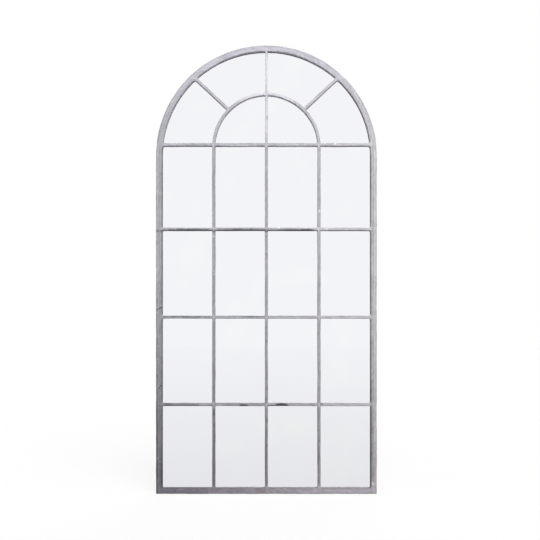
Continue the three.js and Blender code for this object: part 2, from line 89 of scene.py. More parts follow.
print("front faces at y =", round(FRONT, 2), "mm, sill's underside at z =", round(FLOOR, 1), "mm")
print("sill is", round((sill_high.z - sill_low.z) / MM, 1), "mm high")

# %% The dimensions
HALF_WIDTH = 450.0
TUBE_FACE = 25.0
TUBE_DEPTH = 15.0
TUBE_RADIUS = 2.0
FOOT_RADIUS = 4.0
INNER_HALF_WIDTH = HALF_WIDTH - TUBE_FACE
TUBE_MIDDLE = HALF_WIDTH - TUBE_FACE / 2
ARCH_HEIGHT = 1379.0

BAR_FACE = 12.0
BAR_HALF = BAR_FACE / 2
BAR_DEPTH = 10.0
BAR_RADIUS = 1.5
SIDE_BAR = 215.0
ROWS = {"lower_cross_bar": 364.0, "middle_cross_bar": 721.0, "upper_cross_bar": 1080.0,
        "spring_bar": 1425.0}
SPRING = ROWS["spring_bar"]
SPRING_TOP = SPRING + BAR_HALF

FAN_HEIGHT = 1416.0
FAN_INNER = SIDE_BAR - BAR_HALF
FAN_OUTER = SIDE_BAR + BAR_HALF
SPOKE_ANGLE = math.radians(43)
TOP_SPOKE_FACE = 8.0
BOTTOM_SPOKE_FACE = 10.0
BUTT_GAP = 0.1
COPE_GAP = 0.3

print("hoop", 2 * HALF_WIDTH, "wide; rows at", list(ROWS.values()))

# %% [markdown]
# ## A skin from a grid of loops
# Every piece here is a closed loop carried from one end to the other: the section of a tube, the
# ring of a turned screw, the oval of a drop of weld. So one builder is enough. It takes an array
# of rows and columns of points, joins neighbours with four-sided faces, closes the loop, and
# shuts both ends with one flat face each. A skin made this way has no open seam and no pole.

# %% The loop builder
def summed(steps):
    """The distance so far: 0, then the steps added up."""
    return np.concatenate([[0.0], np.cumsum(steps)])


def loops(points, run=None, rim=0.0, weld=0.0):
    """A closed skin: rows of points, each row one loop. Run and girth are the distances along and
    round it in millimetres, kept as its UV map; rim is 0 on the middle of a front face and 1 at
    its edges; weld is 1 on filler metal."""
    steps = np.linalg.norm(np.diff(points, axis=0), axis=-1).mean(axis=1) / MM
    rounds = np.linalg.norm(points - np.roll(points, -1, axis=1), axis=-1).mean(axis=0) / MM
    return {"points": points, "run": summed(steps) if run is None else run, "girth": summed(rounds),
            "rim": np.broadcast_to(rim, points.shape[:2]),
            "weld": np.broadcast_to(weld, points.shape[:2])}


def faces_of(skin, first):
    """Four-sided faces of a skin whose points start at number first, and its two end faces, all
    turned so that the volume they enclose, a third of the sum of face centre times face area
    vector, comes out positive."""
    rows, columns = skin["points"].shape[:2]
    near = np.arange(rows * columns).reshape(rows, columns)
    side = np.roll(near, -1, axis=1)
    quads = np.stack([near[:-1], side[:-1], side[1:], near[1:]], axis=-1).reshape(-1, 4)
    flat = skin["points"].reshape(-1, 3)
    a, b, c, d = ((flat - flat.mean(axis=0))[quads[:, k]] for k in range(4))
    volume = (np.cross(c - a, d - b) * (a + b + c + d)).sum()
    run = np.repeat(skin["run"], columns).reshape(rows, columns)
    low = np.broadcast_to(skin["girth"][:-1], (rows, columns))
    high = np.broadcast_to(skin["girth"][1:], (rows, columns))
    corners = [(run[:-1], low[:-1]), (run[:-1], high[:-1]), (run[1:], high[1:]), (run[1:], low[1:])]
    uv = np.stack([np.stack(corner, axis=-1) for corner in corners], axis=2).reshape(-1, 4, 2)
    ends = [near[0][::-1], near[-1]]
    end_uv = [np.stack([np.full(columns, skin["run"][k]), skin["girth"][:-1]], -1) for k in (0, -1)]
    end_uv[0] = end_uv[0][::-1]
    if volume < 0:
        quads, uv = quads[:, ::-1], uv[:, ::-1]
        ends, end_uv = [end[::-1] for end in ends], [end[::-1] for end in end_uv]
    faces = (quads + first).tolist() + [(end + first).tolist() for end in ends]
    return faces, np.concatenate([uv.reshape(-1, 2)] + end_uv) * MM


# %% A piece from its skins
JOINT_REACH = 9.0


def nearness(points, joints):
    """1 at a welded joint, falling off round it as a bell curve of the distance over the reach."""
    flat = points[:, [0, 2]] / MM - [0, FLOOR]
    distance = ((flat[:, None] - np.array(joints)[None]) ** 2).sum(axis=-1)
    return np.exp(-distance.min(axis=1) / JOINT_REACH ** 2)


def dressed(name, skins, finish, slot, node, body="mirror", sharp=38, joints=None):
    """One piece of the scene: the skins joined in one mesh, smooth but for edges sharper than
    the given angle, that rides on a body and stands for a node of the frame."""
    points = np.concatenate([skin["points"].reshape(-1, 3) for skin in skins])
    faces, maps, first = [], [], 0
    for skin in skins:
        more, uv = faces_of(skin, first)
        faces += more
        maps.append(uv)
        first += skin["points"].shape[0] * skin["points"].shape[1]
    mesh = bpy.data.meshes.new(name)
    mesh.from_pydata(points.tolist(), [], faces)
    mesh.uv_layers.new(name="skin").data.foreach_set("uv", np.concatenate(maps).ravel())
    marks = {key: np.concatenate([skin[key].ravel() for skin in skins]) for key in ("rim", "weld")}
    if joints is not None:
        marks["joint"] = nearness(points, joints)
    for key, values in marks.items():
        mesh.attributes.new(key, "FLOAT", "POINT").data.foreach_set("value", values.astype("f"))
    mesh.shade_smooth()
    mesh.set_sharp_from_angle(angle=math.radians(sharp))
    mesh.materials.append(finish)
    mesh.update()
    made = bpy.data.objects.new(name, mesh)
    bpy.context.scene.collection.objects.link(made)
    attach(made, body)
    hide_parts(node)


# %% [markdown]
# ## Numbers that vary over a surface
# A finish such as worn paint is a sum of many small patterns. Written as nodes it is hard to
# read, so a small class wraps one socket and lets it be added, taken away, multiplied and
# divided like a number. Each expression quietly adds its Math nodes. Colours go through Mix and
# Vector Math instead, because a Math node would turn them grey.

# %% Sockets that can be added up
def arithmetic(operation, reflected=False):
    """One operator. It adds a Math node, fed the other way round in its reflected form. A sine or
    a cosine takes no second value."""
    def operator(self, other=0.0):
        pair = (other, self) if reflected else (self, other)
        return self.maker.node("ShaderNodeMath", {"operation": operation}, dict(enumerate(pair)))
    return operator


class Varying:
    """A number that differs from place to place: an output socket with arithmetic."""
    __add__, __radd__ = arithmetic("ADD"), arithmetic("ADD", True)
    __sub__, __rsub__ = arithmetic("SUBTRACT"), arithmetic("SUBTRACT", True)
    __mul__, __rmul__ = arithmetic("MULTIPLY"), arithmetic("MULTIPLY", True)
    __truediv__, __rtruediv__ = arithmetic("DIVIDE"), arithmetic("DIVIDE", True)
    atleast, atmost, below = map(arithmetic, ("MAXIMUM", "MINIMUM", "LESS_THAN"))
    sine, cosine = map(arithmetic, ("SINE", "COSINE"))

    def __init__(self, maker, socket):
        self.maker = maker
        self.socket = socket


# %% The node maker
def set_stops(elements, stops):
    """Sets both ends of a colour ramp, then adds what lies between."""
    for element, (position, colour) in zip(elements, (stops[0], stops[-1])):
        element.position, element.color = position, colour
    for position, colour in stops[1:-1]:
        elements.new(position).color = colour


class Nodes:
    """The nodes of one finish, of the floor or of the world around them."""

    def __init__(self, owner):
        owner.use_nodes = True
        self.tree = owner.node_tree
        self.tree.nodes.clear()

    def node(self, kind, settings=None, sockets=None, output=0):
        """Adds one node: its settings first, a ramp's stops among them, then values or links for
        its sockets. It gives back one output, or the list of them where output is None."""
        made = self.tree.nodes.new(kind)
        for name, value in (settings or {}).items():
            if name == "stops":
                set_stops(made.color_ramp.elements, value)
            else:
                setattr(made, name, value)
        for name, value in (sockets or {}).items():
            socket = made.inputs[name]
            if isinstance(value, Varying):
                self.tree.links.new(value.socket, socket)
            else:
                socket.default_value = value[:3] if socket.type == "VECTOR" else value
        if output is None:
            return [Varying(self, socket) for socket in made.outputs]
        return Varying(self, made.outputs[output])

    def between(self, amount, low, high, start=0.0, stop=1.0):
        """Eases from start to stop as the amount goes from low to high."""
        return self.node("ShaderNodeMapRange", {"interpolation_type": "SMOOTHSTEP"},
                         {0: amount, 1: low, 2: high, 3: start, 4: stop})

    def mix(self, first, second, amount):
        return self.node("ShaderNodeMix", {"data_type": "RGBA"},
                         {0: amount, 6: first, 7: second}, output=2)

    def vector(self, operation, sockets, output=0):
        return self.node("ShaderNodeVectorMath", {"operation": operation}, sockets, output)

    def scaled(self, colour, amount):
        return self.vector("SCALE", {0: colour, 3: amount})

    def stretched(self, place, scale, shift=(0, 0, 0), turn=0.0):
        """The place at which to read a pattern: turned about its third axis by an angle in
        radians, then squeezed by scale and moved by shift. The turn has a node of its own,
        because a Mapping node squeezes before it turns."""
        if turn:
            place = self.node("ShaderNodeMapping", {}, {"Vector": place, "Rotation": (0, 0, turn)})
        return self.node("ShaderNodeMapping", {}, {"Vector": place, "Location": shift, "Scale": scale})

    def noise(self, place, scale, detail=2.0, roughness=0.5, distortion=0.0):
        return self.node("ShaderNodeTexNoise", {}, {
            "Vector": place, "Scale": scale, "Detail": detail, "Roughness": roughness,
            "Distortion": distortion})

    def split(self, place):
        return self.node("ShaderNodeSeparateXYZ", {}, {0: place}, None)

    def mark(self, name):
        return self.node("ShaderNodeAttribute", {"attribute_name": name}, output="Fac")

    def here(self, output="Object"):
        return self.node("ShaderNodeTexCoord", output=output)


def written(*levels):
    """A colour as it is seen on a screen, from 0 to 255, turned into the light it stands for."""
    shares = np.array(levels) / 255
    light = np.where(shares <= 0.04045, shares / 12.92, ((shares + 0.055) / 1.055) ** 2.4)
    return (*light.tolist(), 1.0)


# %% The finish maker
class Finish(Nodes):
    """A material with one surface shader. Fixed values sit on the shader's own sockets."""

    def __init__(self, name):
        self.material = bpy.data.materials.new(name)
        super().__init__(self.material)

    def tell(self, layer):
        print(f"{self.material.name}, {layer}: {len(self.tree.nodes)} nodes")

    def finish(self, **sockets):
        named = {name.replace("_", " "): value for name, value in sockets.items()}
        shader = self.node("ShaderNodeBsdfPrincipled", {}, named)
        self.node("ShaderNodeOutputMaterial", {}, {"Surface": shader}, None)
        self.tell("finished")
        return self.material

    def bump(self, height, depth, strength=1.0):
        """Leans the surface as if it rose and fell by depth metres."""
        return self.node("ShaderNodeBump", {}, {
            "Height": height, "Distance": depth, "Strength": strength}, output="Normal")


# %% [markdown]
# ## Painted steel
# The hoop and the bars wear a pale grey brushed paint with a lilac cast. It lies lighter on the
# crown and darker and pinker towards the floor, most of all on the left. The pink is the paint's
# own; the darkening is partly thinner, dirtier paint and partly painted shade of a light from
# above and to the right. Its face is mottled as hand-wiped paint is, with streaks along each tube,
# darker edges and side walls, partly worn paint and partly painted shade beside the glass, lighter
# lumps on the welds, and here and there a chip or a bare, dark patch. One material holds all of
# that, because it is one pot of paint. The large changes are two strings of greys up the left and
# right side, and the small ones multiply them.

# %% Greys from the foot to the crown
PLAIN_TINT, PINK_TINT, LILAC_TINT, COOL_TINT = np.array([
    [0.5, -0.5, 3.5], [2.5, -2.0, 1.5], [0.5, -1.5, 3.5], [-1.0, 0.0, 2.0]])
PINK_BELOW = 450.0
LILAC_FROM = 0.72


def grey(level, height, cool):
    """Paint of one lightness: a little blue all over, pinker near the floor, lilac on the crown,
    and cooler on the side that is told so."""
    pink = max(0.0, 1 - height / PINK_BELOW)
    lilac = max(0.0, height / TOTAL_HEIGHT - LILAC_FROM) / (1 - LILAC_FROM)
    return written(*(level + PLAIN_TINT + pink * PINK_TINT + lilac * LILAC_TINT + cool * COOL_TINT))


paint = Finish("brushed_grey_paint")
spot = paint.here()
across, behind, up = paint.split(spot)
climb = (up / MM - FLOOR) / TOTAL_HEIGHT


def greys(levels, cool):
    stops = [(height / TOTAL_HEIGHT, grey(level, height, cool)) for height, level in levels.items()]
    return paint.node("ShaderNodeValToRGB", {"stops": stops}, {0: climb})


# Both strings darken towards the floor and the left one is darker: partly thinner, dirtier paint, and
# partly painted shade of a light from above and to the right.
left_greys = greys({0: 96, 120: 102, 250: 114, 450: 128, 800: 152, 1200: 168, 1450: 166,
                    1829: 184}, cool=1)
right_greys = greys({0: 160, 120: 158, 250: 166, 450: 170, 800: 180, 1200: 188, 1450: 186,
                     1829: 184}, cool=0)
ground = paint.mix(left_greys, right_greys, paint.between(across, -0.45, 0.6))
paint.tell("greys")

# %% [markdown]
# The mottling is noise at four sizes: clouds as wide as a hand, blots as wide as the tube, a
# hammered mottle of a centimetre and a grain of a few millimetres. The brush marks read the
# skin's own map, so that they follow each tube round the arch: long streaks that run with the
# tube, and shorter strokes laid slantwise across it.

# %% Mottling, grain and brush marks
clouds = paint.noise(spot, 7.0, 3.0)
blots = paint.noise(spot, 38.0, 4.0, 0.6, 0.8)
mottle = paint.noise(spot, 95.0, 3.0, 0.55, 1.4)
grain = paint.noise(spot, 230.0, 3.0, 0.6)
skin_map = paint.here("UV")
streaks = paint.noise(paint.stretched(skin_map, (9.0, 150.0, 1.0)), 1.0, 3.0, 0.55)
strokes = paint.noise(paint.stretched(skin_map, (30.0, 120.0, 1.0), turn=0.5), 1.0, 3.0, 0.5, 0.5)
edges = paint.between(paint.mark("rim"), 0.5, 0.95)
filler = paint.mark("weld")
joint = paint.mark("joint")
# The rim mark darkens the edges and the side walls: partly worn paint, partly painted shade beside the
# glass.
tone = (1 + 0.26 * (clouds - 0.5) + 0.50 * (blots - 0.5) + 0.20 * (mottle - 0.5)
        + 0.06 * (grain - 0.5) + 0.75 * (streaks - 0.5) + 0.70 * (strokes - 0.5) - 0.32 * edges
        + joint * (0.22 - 0.12 * climb) + 0.05 * filler)
paint.tell("mottling")

# %% [markdown]
# The sides that look left, away from a light from the right, get painted shade, most of all low
# down, and the ledge of the sill is darker. The inner walls of the hoop and of the fan get painted
# light, most of all those that look right. A wall counts as inner when its normal points
# towards the heart of the arch: minus the sum of normal times place is then above 0. The three
# uprights are a little darker than the cross bars, and more so near the floor. They stand one
# spacing apart, so a cosine of that period finds all of them.

# %% Painted shade on left sides, painted light on inner walls
HEART_HEIGHT = 1300.0
facing_x, _, facing_up = paint.split(paint.here("Normal"))
shade_on_left_faces = paint.between(0 - facing_x, 0.15, 0.8) * (0.5 - 0.4 * climb)
light_on_right_faces = paint.between(facing_x, 0.1, 0.8)
ledge = paint.between(facing_up, 0.3, 0.9) * paint.between(climb, 0.1, 0.02)
inward = 0 - facing_x * across - facing_up * (up - (FLOOR + HEART_HEIGHT) * MM)
lit_inner_walls = (paint.between(behind, (FRONT + 1) * MM, (FRONT + 3) * MM)
             * paint.between(climb, 0.75, 0.8) * paint.between(inward, 0.02, 0.12))
in_line = (across * (2 * math.pi / (SIDE_BAR * MM))).cosine()
upright = (paint.between(in_line, 0.94, 0.985) * paint.between(climb, 0.015, 0.02)
           * paint.between(climb, 0.79, 0.775))
upright_darkening = upright * (1 - joint) * paint.between(climb, 0.35, 0.0, 0.17, 0.28)
# Painted shade on the sides that look left, and painted light on the inner walls that look right.
tone = tone * (1 - shade_on_left_faces) * (1 - 0.4 * ledge) * (1 + lit_inner_walls * (0.75 + 0.6 * light_on_right_faces))
tone = (tone * (1 - upright_darkening)).atmost(1.8)
colour = paint.scaled(ground, tone)
paint.tell("painted_shade")

# %% Pink and white bloom
pink_bloom = paint.between(paint.noise(spot, 16.0, 3.0, 0.6, 0.5), 0.52, 0.72)
elsewhere = paint.stretched(spot, (1, 1, 1), (3.1, 0.7, 1.9))
white_bloom = paint.between(paint.noise(elsewhere, 24.0, 4.0, 0.65, 1.2), 0.57, 0.74)
pinker = paint.scaled(paint.mix(ground, written(196, 178, 186), 0.3), tone)
colour = paint.mix(colour, pinker, pink_bloom * 0.5)
colour = paint.mix(colour, written(216, 211, 228), white_bloom * 0.34 * climb)
paint.tell("bloom")

# %% [markdown]
# A few marks are big enough to be known by their place: dark bare patches on the lower and upper
# cross bars, two dark scratches across the left jamb, painted shade under the upper cross bar and
# down the outer edge of the left jamb, darker patches that are partly painted shade on edges of
# the jambs and uprights and under the upper cross bar, pale chips, two pinkish patches low on the
# jambs, and the fan's crown and middle spokes, rubbed almost white. Each is an oval, given by its
# centre and its half width and half height in millimetres, with its outline broken up by the grain.

# %% Marks in known places
def patches(ragged, softness, ovals):
    """1 inside any of the ovals, 0 outside: the distance from an oval's centre, measured in its
    own half width and half height, plus a ragged edge, eased from 1 down."""
    whole = None
    for x, height, half_width, half_height in ovals:
        away = paint.vector("SUBTRACT", {0: spot, 1: (x * MM, 0, (height + FLOOR) * MM)})
        shares = (1 / (half_width * MM), 0, 1 / (half_height * MM))
        oval = paint.vector("MULTIPLY", {0: away, 1: shares})
        reach = paint.vector("LENGTH", {0: oval}, "Value")
        inside = paint.between(reach + ragged, 1.0 + softness, 1.0 - softness)
        whole = inside if whole is None else whole.atleast(inside)
    return whole


ragged = 2.4 * (grain - 0.5) + 1.6 * (blots - 0.5)
dark = patches(0.4 * ragged, 0.25, [
    (161, 1076, 34, 4), (-93, 360.5, 18, 5), (62, 362, 26, 8), (26, 359, 24, 3), (-12, 350, 4, 6),
    (-430, 760, 4.5, 1.8), (-435, 756, 4, 2), (-442, 751.5, 5, 1.2), (-432, 441, 2, 4),
    (-437, 433, 2, 4)])
# Painted shade under the upper cross bar and down the outer edge of the left jamb.
painted_shade = patches(0.5 * ragged, 0.4, [
    (-320, 1072, 118, 9), (-108, 1072, 114, 9), (88, 1072, 88, 8), (-450, 110, 6, 230)])
# Darker patches: partly painted shade on edges of the jambs and uprights and under the upper cross bar,
# partly darker paint.
dim_and_shade = patches(ragged, 0.5, [
    (-401, 364, 18, 7), (-340, 360, 90, 5), (-228, 360, 9, 4), (225, 369, 5, 5), (-448, 330, 5, 300),
    (-427, 95, 4, 68), (427, 250, 4, 222), (209.5, 190, 3, 160), (-5, 190, 3, 160),
    (-212, 330, 4, 12), (-210, 280, 3, 9), (2, 300, 3, 8), (2, 200, 3, 6), (4, 1535, 3, 8),
    (330, 1073, 110, 4), (4, 1786, 3, 10), (-217, 903, 3, 3), (0, 1050, 3, 5), (0, 978, 3, 5),
    (0, 625, 3, 6), (-330, 722.5, 95, 3), (-45, 722.5, 45, 3)])
brown = patches(ragged, 0.4, [(192, 363, 8, 5), (-30, 14, 26, 9)])
chips = patches(ragged, 0.3, [
    (280, 1428, 5, 3), (216, 1154, 3, 7), (247, 1081, 6, 3), (53, 1085, 5, 3), (435, 42, 5, 8),
    (-441, 146, 3, 8), (-434, 132, 3, 4), (-346, 20, 9, 3), (-190, 363, 14, 3), (-260, 365, 16, 3),
    (-215, 370, 4, 5), (-217, 1051, 3, 3), (-216, 909, 3, 2.5)])
scratch = patches(1.2 * (grain - 0.5), 0.35, [(-436, 604, 8, 1.2)])
pink = patches(ragged, 0.5, [(-436, 232, 10, 40), (436, 100, 12, 46)])
rubbed = patches(ragged, 0.4, [
    (-70, 1624, 95, 22), (70, 1620, 90, 22), (0, 1722, 12, 72), (0, 1540, 8, 80),
    (-95, 1418, 95, 4.5), (105, 1418, 75, 3.5)])

colour = paint.mix(colour, paint.scaled(written(150, 136, 142), tone), pink * 0.3)
colour = paint.mix(colour, paint.scaled(written(232, 231, 238), 0.3 + 0.7 * tone), rubbed * 0.5)
colour = paint.mix(colour, written(116, 98, 102), brown * 0.4)
# The darker patches and the painted shade darken the colour.
colour = paint.scaled(colour, (1 - 0.45 * dim_and_shade) * (1 - 0.82 * painted_shade))
colour = paint.mix(colour, written(36, 32, 38), dark * 0.95)
colour = paint.mix(colour, paint.scaled(ground, 1.75), chips * 0.7)
colour = paint.mix(colour, paint.scaled(ground, 1.6), scratch * 0.5)
paint.tell("marks")

# %% Roughness, relief and the finished paint
roughness = 0.5 + 0.22 * (blots - 0.5) + 0.12 * grain + 0.1 * dark
relief = grain * 0.5 + mottle * 0.4 + blots * 0.4 + streaks * 0.35 - 0.8 * dark - 0.6 * chips
painted_steel = paint.finish(Base_Color=colour, Roughness=roughness, Metallic=0.0,
                             Normal=paint.bump(relief, 0.0005, 0.45))

# %% [markdown]
# ## Tubes
# A tube is a rounded rectangle carried along a line or a circle. What makes it look hand made is
# that neither its width nor its face is quite even, and what makes it fit is how its ends are
# cut: square, mitred, or coped to the curve of its neighbour. So an end is a function that says,
# for each point of the section, how far along the path the cut lies.

# %% The section of a tube
def rounded_section(face, depth, radius, face_steps, side_steps=4, corner_steps=4):
    """Points round a rectangle with rounded corners. Each corner is a quarter circle about a
    centre one radius in from both sides; straight runs between corners are shared out evenly."""
    half = face / 2 - radius
    back = depth - radius
    centres = [(-half, radius), (half, radius), (half, back), (-half, back)]
    counts = [face_steps, side_steps, max(2, face_steps // 2), side_steps]
    turns = np.linspace(0, np.pi / 2, corner_steps + 1)
    corners = [np.stack([x + radius * np.cos(turns + start), y + radius * np.sin(turns + start)], -1)
               for (x, y), start in zip(centres, np.array([2, 3, 0, 1]) * np.pi / 2)]
    whole = []
    for corner, following, count in zip(corners, corners[1:] + corners[:1], counts):
        shares = np.linspace(0, 1, count + 1)[1:-1, None]
        whole += [corner, corner[-1] * (1 - shares) + following[0] * shares]
    points = np.concatenate(whole)
    return points[:, 0], points[:, 1]


HOOP_SECTION = rounded_section(TUBE_FACE, TUBE_DEPTH, TUBE_RADIUS, 10)


def bar_section(face):
    return rounded_section(face, BAR_DEPTH, BAR_RADIUS, 6)


print("points round the hoop's tube:", len(HOOP_SECTION[0]))


# %% Paths and uneven lines
def straight(x, height, angle):
    """A straight path from a point at an angle, in radians up from the right. Across is measured
    to the left of the way it runs: x = x0 + along cos - across sin, and so for the height."""
    cos, sin = math.cos(angle), math.sin(angle)
    return lambda along, across, depth: drawn(x + along * cos - across * sin, depth,
                                              height + along * sin + across * cos)


def bent(centre_height, radius):
    """A circular path that starts at the right and runs over the top: the angle is the length
    along divided by the radius, and across is measured towards the centre."""
    return lambda along, across, depth: drawn(
        (radius - across) * np.cos(along / radius), depth,
        centre_height + (radius - across) * np.sin(along / radius))


def uneven(along, seed, size):
    """A smooth random line: five sine waves from 35 to 420 mm long, the long ones the highest."""
    lengths = np.geomspace(35, 420, 5)
    phases = np.random.default_rng(seed).uniform(0, 2 * np.pi, len(lengths))
    heights = size * np.sqrt(lengths / lengths[-1]) / 2
    return (heights * np.sin(2 * np.pi * along[..., None] / lengths + phases)).sum(axis=-1)


# %% A tube along a path
ROW_SPACING = 5.0
SETTLING = 18.0
SWELL, DRIFT, DENT = 0.035, 0.45, 0.3


def tube(section, path, begin, end, seed):
    """A section carried along a path. A point of row s lies at begin + s (end - begin). The width
    swells and shrinks, the middle wanders and the face rises and dips by parts of a millimetre,
    and all of it dies away near the ends so that neighbours still meet."""
    across, depth = section
    first, last = begin(across), end(across)
    rows = int((last - first).max() / ROW_SPACING) + 2
    along = first + np.linspace(0, 1, rows)[:, None] * (last - first)
    settled = np.clip(np.minimum(along - first, last - along) / SETTLING, 0, 1)
    swell = 1 + settled * uneven(along, seed, SWELL)
    drift = settled * uneven(along, seed + 1, DRIFT)
    facing = 1 - depth / depth.max()
    dent = settled * facing * uneven(along + 2.5 * across, seed + 2, DENT)
    points = path(along, across * swell + drift, depth + dent)
    sides = np.clip((depth - 1.0) / 2.0, 0, 1)
    rim = np.maximum(np.abs(across) / np.abs(across).max(), sides)
    return loops(points, run=along.mean(axis=1), rim=rim)


def at(value):
    """A square end."""
    return lambda across: np.full_like(across, value)


def on_circle(x, height, angle, centre_height, radius):
    """An end coped to a circle about a point on the middle line: how far a line at this angle,
    shifted across, runs before it reaches the circle."""
    cos, sin = math.cos(angle), math.sin(angle)

    def reach(across):
        right = x - across * sin
        over = height + across * cos - centre_height
        ahead = right * cos + over * sin
        return np.sqrt(ahead ** 2 - right ** 2 - over ** 2 + radius ** 2) - ahead
    return reach


# %% [markdown]
# ## Welds
# Each joint is filled in its corners: seen from the front a weld is a small concave web between
# two bars, lumpy, a little sunk, and painted over. Its outline is a parabola from one bar to the
# other. Where a bar butts against a face there is also a low oval lump along the seam.

# %% Corner welds
SINK = 0.6
HOOP_WELD, BAR_WELD, CROWN_WELD, FOOT_WELD = (9, 9), (4.5, 4.5), (16, 2.5), (6, 6)
WEB = np.array([0, .25, .5, .72, .88, .97, 1, 1, 1, 1, 1, .5, 0])
WEB_DEPTH = np.array([.55, .4, .3, .35, .6, 1.1, 1.9, 3.2, 5.0, 7.5, BAR_DEPTH, BAR_DEPTH, BAR_DEPTH])


def corner_weld(joint, direction, side, half_face, legs, seed):
    """Filler in the corner between a face and a bar butted to it. Row t crosses from the bar,
    the first leg times (1 - t)^2, to the face, the second times t^2. Each row starts inside the
    corner, comes forward over the front, turns down the web and returns at the back."""
    t = np.linspace(0, 1, 15)[:, None]
    lump = uneven(40 * t + 9 * WEB, seed, 0.5)
    web = np.clip(WEB + 0.05 * lump * WEB, 0, 1.1)
    run = -SINK + web * (legs[0] * (1 - t) ** 2 - 0.3 * t ** 2 + SINK)
    lift = half_face - SINK + web * (legs[1] * t ** 2 - 0.3 * (1 - t) ** 2 + SINK)
    sunk = np.clip(WEB_DEPTH + 0.3 * lump * (WEB_DEPTH < 3), 0.1, BAR_DEPTH)
    return loops(straight(*joint, direction)(run, side * lift, sunk),
                 rim=np.clip(1.6 * (WEB - .62), 0, 1), weld=1.0)


def both_corners(joint, direction, half_face, legs, seed):
    return [corner_weld(joint, direction, side, half_face, legs, seed + side) for side in (1, -1)]


# %% Seam lumps
def seam(x, height, angle, long, wide, seed, high=0.55):
    """A low oval lump on the front: rings of an ellipse whose radius wavers, rising as the square
    root of what is left of 1 when the ring's radius is squared and taken away."""
    chance = np.random.default_rng(seed)
    turn = np.linspace(0, 2 * np.pi, 28, endpoint=False)
    ring = np.array([1, .97, .9, .78, .62, .44, .25, .08])[:, None]
    waver = sum((size * np.sin(waves * turn + chance.uniform(0, 6))
                 for waves, size in ((2, .12), (3, .09), (5, .05))), 1.0)
    run = long * ring * np.cos(turn) * waver
    lift = wide * ring * np.sin(turn) * waver
    ripple = 1 + .15 * np.sin(run * 1.1 + chance.uniform(0, 6))
    depth = 0.35 - (high + 0.35) * np.sqrt(np.clip(1 - ring ** 2, 0, 1)) * ripple
    return loops(straight(x, height, angle)(run, lift, depth), weld=1.0)


# %% Where the joints are
UP, LEFT, RIGHT = math.pi / 2, math.pi, 0.0
INWARDS = ((1, LEFT), (-1, RIGHT))
OUTWARDS = ((1, RIGHT), (-1, LEFT))
SPOKES = {"right_spoke": SPOKE_ANGLE, "left_spoke": math.pi - SPOKE_ANGLE}
UPRIGHTS = {"left_glazing_bar": -SIDE_BAR, "centre_glazing_bar": 0.0,
            "right_glazing_bar": SIDE_BAR}
wall_at_spring = math.sqrt(INNER_HALF_WIDTH ** 2 - (SPRING - ARCH_HEIGHT) ** 2)


def from_hub(angle, distance):
    """A point this far from the fan's hub, the middle of the spring bar."""
    return distance * math.cos(angle), SPRING + distance * math.sin(angle)


def hub_reach(angle, shift, centre_height, radius):
    """How far a line from the hub, shifted to its left, runs to a circle."""
    return float(on_circle(0, SPRING, angle, centre_height, radius)(np.array([shift]))[0])


joints = [(x, height) for x in UPRIGHTS.values() for height in ROWS.values()]
joints += [(side * INNER_HALF_WIDTH, height) for side in (-1, 1) for height in ROWS.values()]
joints += [(x, TUBE_FACE) for x in UPRIGHTS.values()]
for angle in [*SPOKES.values(), UP]:
    joints.append(from_hub(angle, hub_reach(angle, 0, ARCH_HEIGHT, INNER_HALF_WIDTH)))
    joints.append(from_hub(angle, hub_reach(angle, 0, FAN_HEIGHT, FAN_OUTER)))
print(len(joints), "welded joints")


def painted(node, skins, name=None):
    """A tube with its welds in the paint, marked where it is near a welded joint."""
    dressed(name or node + "_tube", skins, painted_steel, "painted_steel", node, joints=joints)


# %% [markdown]
# ## The hoop
# Two jambs and a sill are mitred at the foot, their outer corner is ground round, and the rolled
# arch sits square on the jambs. All four are one section of tube with different ends. The hoop
# carries the corner welds where cross bars and spokes arrive.

# %% The rolled arch
def spoke_corners(angle, face, centre_height, radius, arrives, legs, seed):
    """Corner welds on a curved wall, either where a spoke sets off from it or where it arrives."""
    made = []
    for side in (1, -1):
        reach = hub_reach(angle, side * face / 2, centre_height, radius)
        direction = angle + math.pi if arrives else angle
        made.append(corner_weld(from_hub(angle, reach), direction, -side if arrives else side,
                                face / 2, legs, seed + side))
    return made


arch_skins = [tube(HOOP_SECTION, bent(ARCH_HEIGHT, TUBE_MIDDLE), at(0.0),
                   at(math.pi * TUBE_MIDDLE), seed=11)]
for side, direction in INWARDS:
    arch_skins += both_corners((side * wall_at_spring, SPRING), direction, BAR_HALF, HOOP_WELD,
                               20 + side)
for number, angle in enumerate(SPOKES.values()):
    arch_skins += spoke_corners(angle, BAR_FACE, ARCH_HEIGHT, INNER_HALF_WIDTH, True, HOOP_WELD,
                                30 + 5 * number)
arch_skins += spoke_corners(UP, TOP_SPOKE_FACE, ARCH_HEIGHT, INNER_HALF_WIDTH, True, CROWN_WELD, 41)
painted("arch_tube", arch_skins, "rolled_arch")
print("arch:", len(arch_skins) - 1, "corner welds")


# %% Jambs and sill
def foot_cut(side):
    """The mitred and ground foot of a jamb. The mitre rises by one for each step inwards; the
    ground corner is a quarter circle in the last few millimetres."""
    def cut(across):
        outside = TUBE_FACE / 2 + side * across
        edge = np.clip(FOOT_RADIUS - outside, 0, FOOT_RADIUS)
        ground_off = FOOT_RADIUS - np.sqrt(FOOT_RADIUS ** 2 - edge ** 2)
        return np.maximum(outside, ground_off)
    return cut


for name, side, direction in (("left_jamb", -1, RIGHT), ("right_jamb", 1, LEFT)):
    skins = [tube(HOOP_SECTION, straight(side * TUBE_MIDDLE, 0, UP), foot_cut(side),
                  at(ARCH_HEIGHT), seed=50 + side)]
    for number, height in enumerate(list(ROWS.values())[:-1]):
        skins += both_corners((side * INNER_HALF_WIDTH, height), direction, BAR_HALF, HOOP_WELD,
                              60 + 7 * number + 3 * side)
    painted(name, skins)

